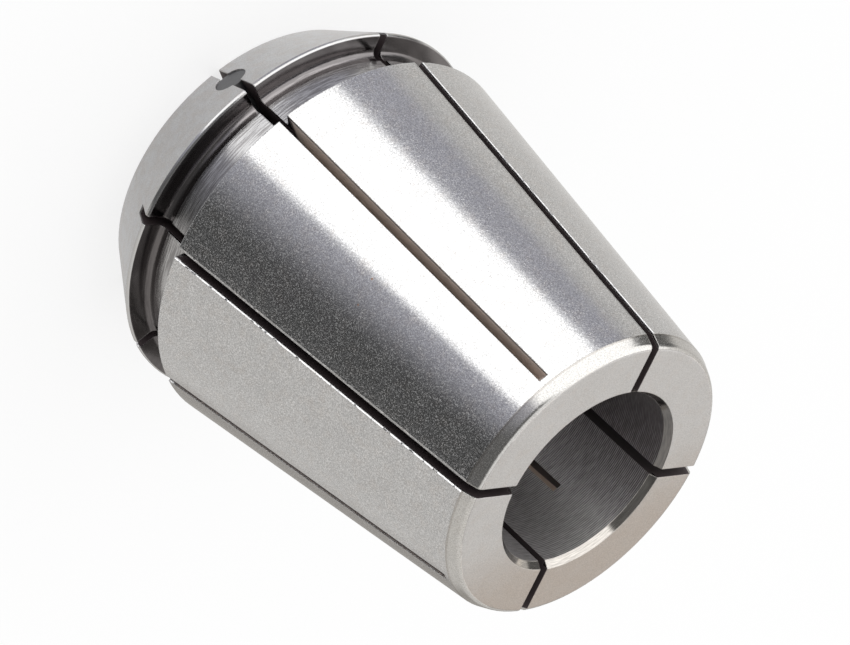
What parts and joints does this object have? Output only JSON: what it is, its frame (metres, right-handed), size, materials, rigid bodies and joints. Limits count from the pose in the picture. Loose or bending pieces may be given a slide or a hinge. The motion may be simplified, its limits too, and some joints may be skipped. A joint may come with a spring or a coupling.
{
  "type": "spring collet",
  "caption": "Steel spring collet with a long taper, alternate saw slits, an extraction groove and seal pins that close the front slits against coolant.",
  "frame": {"origin": "centre of the flat front face, at the big end, on which the collet stands", "axes": "+Z along the collet's axis towards the small end; one front slit lies in the -Y direction"},
  "size_m": [0.0326, 0.0326, 0.04],
  "materials": {
    "ground_steel": "hardened spring steel, ground on the tapers and turned in the groove",
    "pin_steel": "dull dark grey"
  },
  "bodies": {
    "root": {"collet_body": "ground_steel", "seal_pin_1": "pin_steel", "seal_pin_2": "pin_steel", "seal_pin_3": "pin_steel", "seal_pin_4": "pin_steel"}
  },
  "joints": []
}
